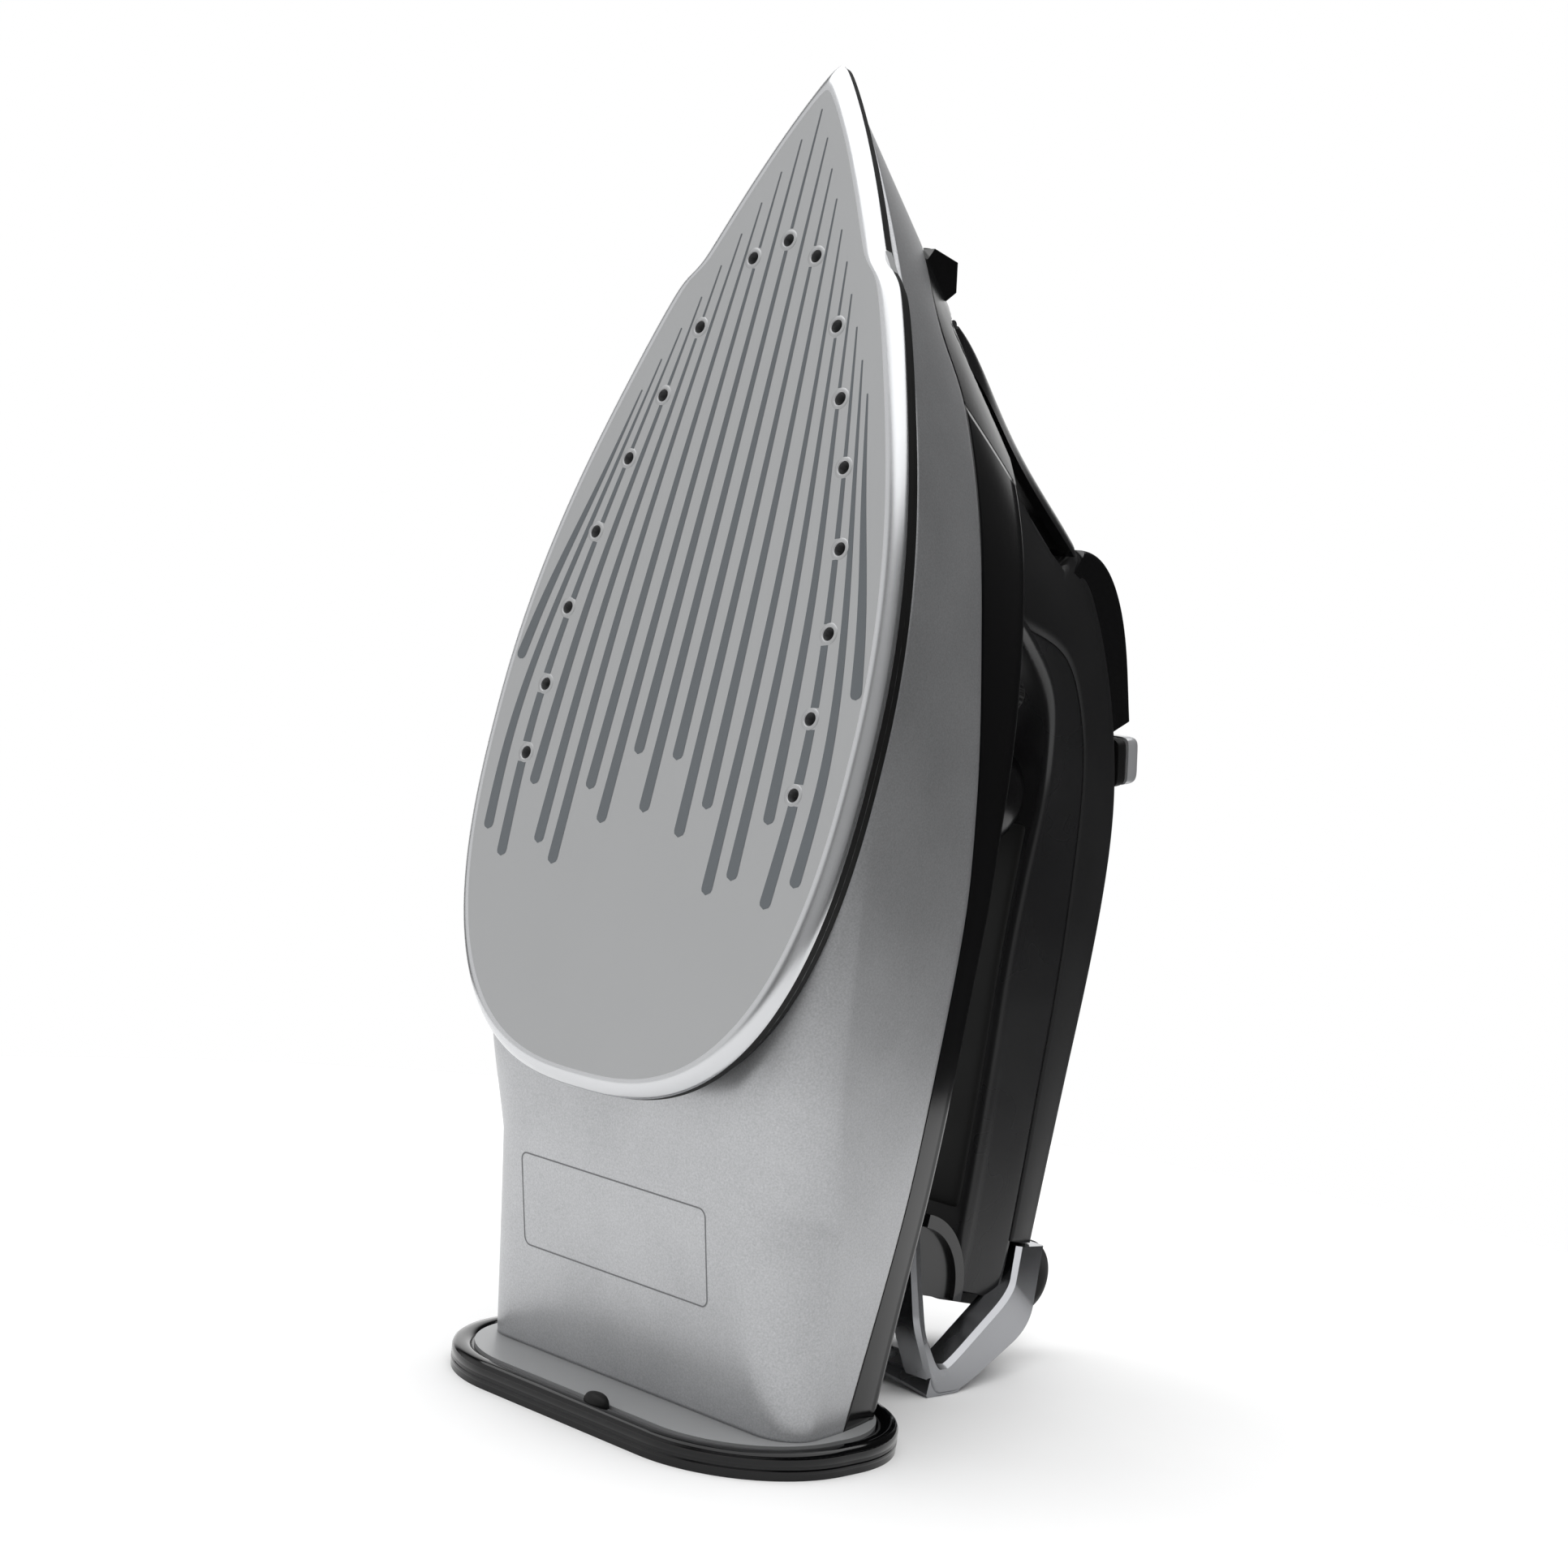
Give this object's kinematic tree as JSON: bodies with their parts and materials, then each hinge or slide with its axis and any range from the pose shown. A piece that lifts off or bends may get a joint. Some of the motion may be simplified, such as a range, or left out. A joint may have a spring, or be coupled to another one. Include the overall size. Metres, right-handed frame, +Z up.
{
  "type": "steam iron",
  "caption": "Household steam iron standing on its heel, with a closed loop handle, metal sole with steam vents, water tank, dial, buttons and fill door.",
  "frame": {"origin": "centre of the heel plate's underside, on the surface the iron stands on", "axes": "+Z up from the heel plate towards the tip, +X from the sole towards the handle, +Y towards the iron's right side"},
  "size_m": [0.1738, 0.118, 0.3054],
  "materials": {
    "sole_metal": "fine satin, anodised",
    "cast_metal": "as cast",
    "element_steel": "heat tinted",
    "seal_rubber": "matt silicone",
    "silver_shell": "satin metallic",
    "heat_black": "matt",
    "band_black": "gloss",
    "nose_dark": "gloss",
    "handle_matt": "fine matt",
    "grip_gloss": "soft gloss",
    "grip_rubber": "soft touch",
    "button_gloss": "gloss",
    "slider_silver": "satin chrome",
    "tail_chrome": "satin chrome",
    "plate_smoke": "gloss",
    "trim_grey": "satin",
    "tank_clear": "clear, moulded",
    "inner_plastic": "as moulded",
    "steel": "plated",
    "brass": "turned",
    "lens_amber": "translucent gloss",
    "cord_rubber": "moulded"
  },
  "bodies": {
    "iron": {"soleplate": "sole_metal", "heater_casting": "cast_metal", "heating_element": "element_steel", "chamber_gasket": "seal_rubber", "chamber_lid": "steel", "heat_shield": "heat_black", "thermostat": "brass", "thermal_fuse": "steel", "lower_shell": "silver_shell", "upper_housing": "band_black", "nose_cover": "nose_dark", "water_tank": "tank_clear", "filler_neck": "inner_plastic", "filler_tray": "inner_plastic", "door_hinge_pin": "steel", "spray_nozzle": "nose_dark", "nozzle_tip": "inner_plastic", "handle_shell": "handle_matt", "indicator_lens": "lens_amber", "grip_insert": "grip_rubber", "handle_underside": "grip_gloss", "pump_barrels": "inner_plastic", "button_springs": "steel", "steam_track": "heat_black", "dial_pedestal": "grip_gloss", "valve_rod": "steel", "steam_valve": "brass", "rear_pillar": "grip_gloss", "pillar_rim": "nose_dark", "tail_loop": "tail_chrome", "tail_cover": "handle_matt", "loop_wall": "band_black", "heel_plate": "plate_smoke", "heel_trim": "trim_grey", "latch_tab": "heat_black", "heel_screws": "steel", "terminal_block": "inner_plastic"},
    "door": {"fill_door": "nose_dark"},
    "spray_key": {"spray_button": "button_gloss", "spray_plunger": "inner_plastic"},
    "steam_key": {"steam_button": "button_gloss", "steam_plunger": "inner_plastic"},
    "slider": {"steam_slider": "slider_silver"},
    "dial": {"temperature_dial": "grip_gloss", "dial_shaft": "steel"},
    "clean_knob": {"self_clean_knob": "heat_black", "self_clean_rod": "steel"},
    "swivel": {"cord_swivel": "heat_black", "cord_gland": "cord_rubber", "cord_ring": "cord_rubber"}
  },
  "joints": [
    {"name": "fill_door_hinge", "type": "hinge", "parent": "iron", "child": "door", "pos_m": [0.05107, 0, 0.25442], "axis": [0, -1, 0], "range_deg": [0, 70]},
    {"name": "spray_press", "type": "slide", "parent": "iron", "child": "spray_key", "axis": [-0.8472, 0, -0.5313], "range_m": [0, 0.003], "stiffness_N_per_m": 600},
    {"name": "steam_press", "type": "slide", "parent": "iron", "child": "steam_key", "axis": [-0.8472, 0, -0.5313], "range_m": [0, 0.003], "stiffness_N_per_m": 600},
    {"name": "steam_slide", "type": "slide", "parent": "iron", "child": "slider", "axis": [0, 1, 0], "range_m": [0, 0.015]},
    {"name": "dial_turn", "type": "hinge", "parent": "iron", "child": "dial", "pos_m": [0.07416, 0, 0.14533], "axis": [0.9816, 0, -0.1908], "range_deg": [0, 270]},
    {"name": "self_clean_pull", "type": "slide", "parent": "iron", "child": "clean_knob", "axis": [0.9816, 0, -0.1908], "range_m": [0, 0.006], "stiffness_N_per_m": 300},
    {"name": "cord_turn", "type": "hinge", "parent": "iron", "child": "swivel", "pos_m": [0.11023, -0.001, 0.02117], "axis": [0.9816, 0, -0.1908], "range_deg": [-60, 60]}
  ]
}
